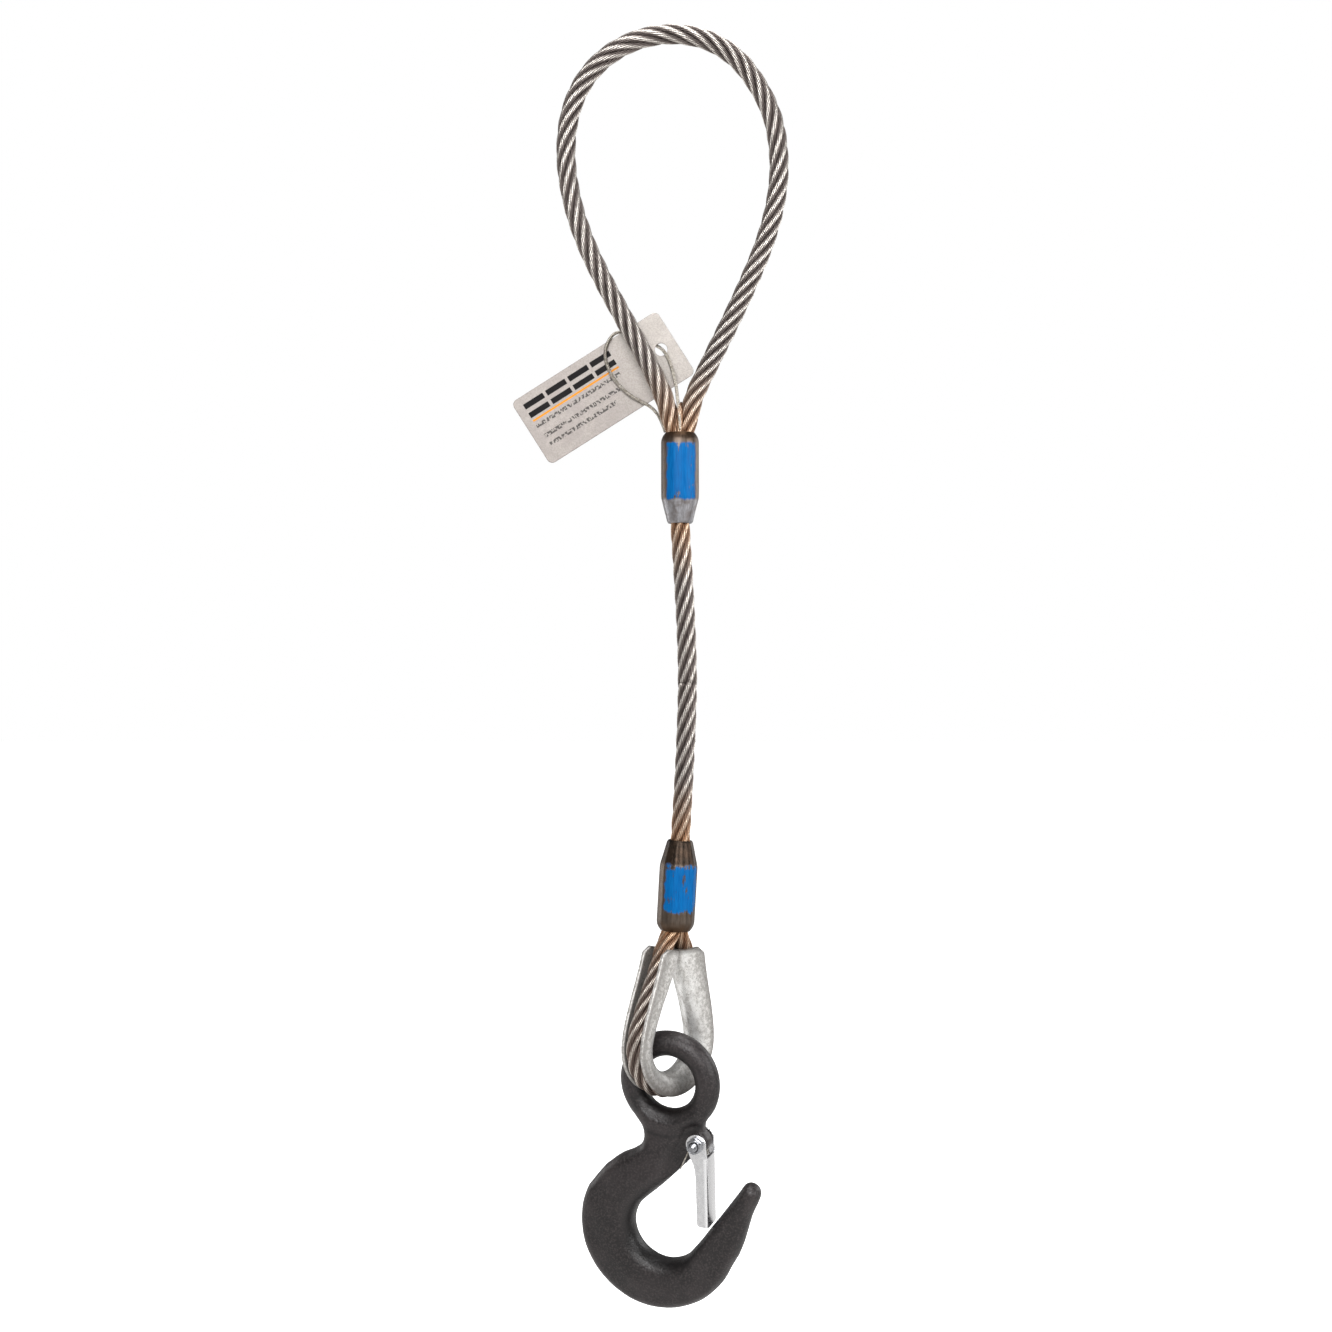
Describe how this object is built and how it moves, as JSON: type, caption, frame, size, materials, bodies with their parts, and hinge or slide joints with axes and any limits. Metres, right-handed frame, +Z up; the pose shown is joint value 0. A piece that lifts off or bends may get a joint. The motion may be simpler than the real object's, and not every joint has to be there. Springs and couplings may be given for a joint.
{
  "type": "wire rope sling with thimble eye and latched eye hook",
  "caption": "Single-leg wire rope sling: plain soft eye above, thimble eye below holding an eye hook with a spring latch, swaged sleeves and a wired-on identity tag.",
  "frame": {"origin": "inside top of the soft eye, on the middle of the rope, where the sling hangs", "axes": "+Z up along the hanging sling, +X to the right seen from the front, +Y away from the front"},
  "size_m": [0.1385, 0.056, 0.6451],
  "materials": {
    "wire_rope": "bright carbon steel strands dulled by handling, light grease in the valleys",
    "sleeve_blue": "swaged mild steel sleeve with a blue paint band, bare steel at both ends",
    "thimble_zinc": "galvanised pressed steel, satin grey with rubbed bright streaks",
    "forged_black": "heat-treated drop forging, rough black-brown oxide",
    "latch_zinc": "bright zinc-plated pressed sheet, bolt and nut",
    "spring_wire": "plain drawn spring wire",
    "tag_alloy": null,
    "tag_cable": "thin galvanised cable"
  },
  "bodies": {
    "soft_eye_end": {"soft_eye_rope": "wire_rope", "upper_sleeve": "sleeve_blue", "upper_splice": "wire_rope", "rope_upper": "wire_rope", "tag_lanyard": "tag_cable"},
    "rope_mid": {"rope_middle": "wire_rope"},
    "thimble_end": {"rope_lower": "wire_rope", "lower_splice": "wire_rope", "lower_sleeve": "sleeve_blue", "thimble_rope": "wire_rope", "thimble": "thimble_zinc"},
    "hook_body": {"hook": "forged_black", "latch_bolt": "latch_zinc", "latch_nut": "latch_zinc", "latch_spring": "spring_wire"},
    "latch_body": {"latch": "latch_zinc"},
    "tag_body": {"id_tag": "tag_alloy"}
  },
  "joints": [
    {"name": "rope_bend_side", "type": "hinge", "parent": "soft_eye_end", "child": "rope_mid", "pos_m": [0.0064, 0, -0.279], "axis": [0, 1, 0], "range_deg": [-20, 20], "stiffness_Nm_per_rad": 6},
    {"name": "rope_bend_fore", "type": "hinge", "parent": "rope_mid", "child": "thimble_end", "pos_m": [0.0065, 0, -0.357], "axis": [1, 0, 0], "range_deg": [-20, 20], "stiffness_Nm_per_rad": 6},
    {"name": "hook_swing", "type": "hinge", "parent": "thimble_end", "child": "hook_body", "pos_m": [-0.0009, 0, -0.5189], "axis": [-0.3564, -0.9285, -0.1045], "range_deg": [-75, 75]},
    {"name": "latch_pivot", "type": "hinge", "parent": "hook_body", "child": "latch_body", "pos_m": [0.01405, -0.00249, -0.54774], "axis": [0.3564, 0.9285, 0.1045], "range_deg": [0, 32], "stiffness_Nm_per_rad": 0.06, "springref_deg": -34.38, "deforming": ["latch_spring"]},
    {"name": "tag_swing", "type": "hinge", "parent": "soft_eye_end", "child": "tag_body", "pos_m": [-0.00547, 0.0103, -0.15105], "axis": [0, -1, 0], "range_deg": [0, 75]}
  ]
}
